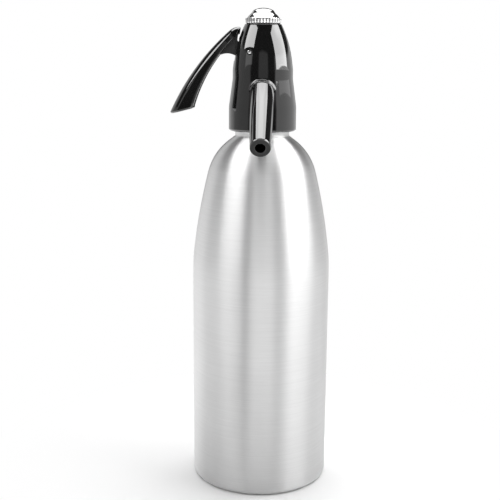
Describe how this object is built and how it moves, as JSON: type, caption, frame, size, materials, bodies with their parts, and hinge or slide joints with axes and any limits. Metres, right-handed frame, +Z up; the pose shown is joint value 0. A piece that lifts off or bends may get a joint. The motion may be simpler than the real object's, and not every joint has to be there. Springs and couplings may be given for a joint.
{
  "type": "soda siphon",
  "caption": "Metal soda siphon with a black screw-on head, a curved side lever, a drooping spout, a fluted chrome cap and a capped gas port at the back.",
  "frame": {"origin": "centre of the ring that the bottle stands on, in the table's plane", "axes": "+Z up along the bottle's axis; -Y is the side that the spout points to; the lever hangs at -X; the gas port is at +Y"},
  "size_m": [0.1046, 0.1148, 0.3093],
  "materials": {
    "bottle_metal": "brushed, clear lacquered",
    "black_plastic": "moulded, glossy",
    "white_plastic": "moulded, matt",
    "chrome": "plated, polished",
    "steel": "drawn, plain",
    "core_metal": "turned",
    "brass": "turned",
    "seal_rubber": "moulded, matt"
  },
  "bodies": {
    "bottle": {"bottle": "bottle_metal", "measuring_tube": "white_plastic"},
    "head": {"head_casing": "black_plastic", "neck_thread_ring": "steel", "head_gasket": "seal_rubber", "valve_body": "core_metal", "gland_plug": "core_metal", "stem_oring": "seal_rubber", "riser_tube": "white_plastic", "riser_oring": "seal_rubber", "spout_tube": "black_plastic", "spout_oring": "seal_rubber", "port_nipple": "brass", "piercing_pin": "steel", "charger_seal": "seal_rubber", "check_ball": "steel", "check_spring": "steel", "lever_pin": "steel", "valve_spring": "steel"},
    "lever": {"lever": "black_plastic"},
    "valve": {"valve_stem": "steel", "valve_seal": "seal_rubber", "stem_collar": "steel"},
    "top_cap": {"top_cap": "chrome", "cap_washer": "seal_rubber"},
    "port_cap": {"port_cap": "black_plastic", "port_cap_seal": "seal_rubber"}
  },
  "joints": [
    {"name": "head_turn", "type": "hinge", "parent": "bottle", "child": "head", "pos_m": [0, 0, 0.241], "axis": [0, 0, 1], "range_deg": [0, 360]},
    {"name": "lever_press", "type": "hinge", "parent": "head", "child": "lever", "pos_m": [-0.008, 0, 0.282], "axis": [0, -1, 0], "range_deg": [0, 15], "stiffness_Nm_per_rad": 0.3, "springref_deg": -5.73},
    {"name": "valve_lift", "type": "slide", "parent": "head", "child": "valve", "axis": [0, 0, 1], "range_m": [0, 0.0021], "deforming": ["valve_spring"]},
    {"name": "cap_turn", "type": "hinge", "parent": "head", "child": "top_cap", "pos_m": [0, 0, 0.3], "axis": [0, 0, 1], "range_deg": [0, 360]},
    {"name": "port_cap_turn", "type": "hinge", "parent": "head", "child": "port_cap", "pos_m": [0, 0.025, 0.256], "axis": [0, 1, 0], "range_deg": [0, 360]}
  ],
  "couplings": [
    {"joint": "valve_lift", "follows": "lever_press", "m_per_rad": 0.008}
  ]
}
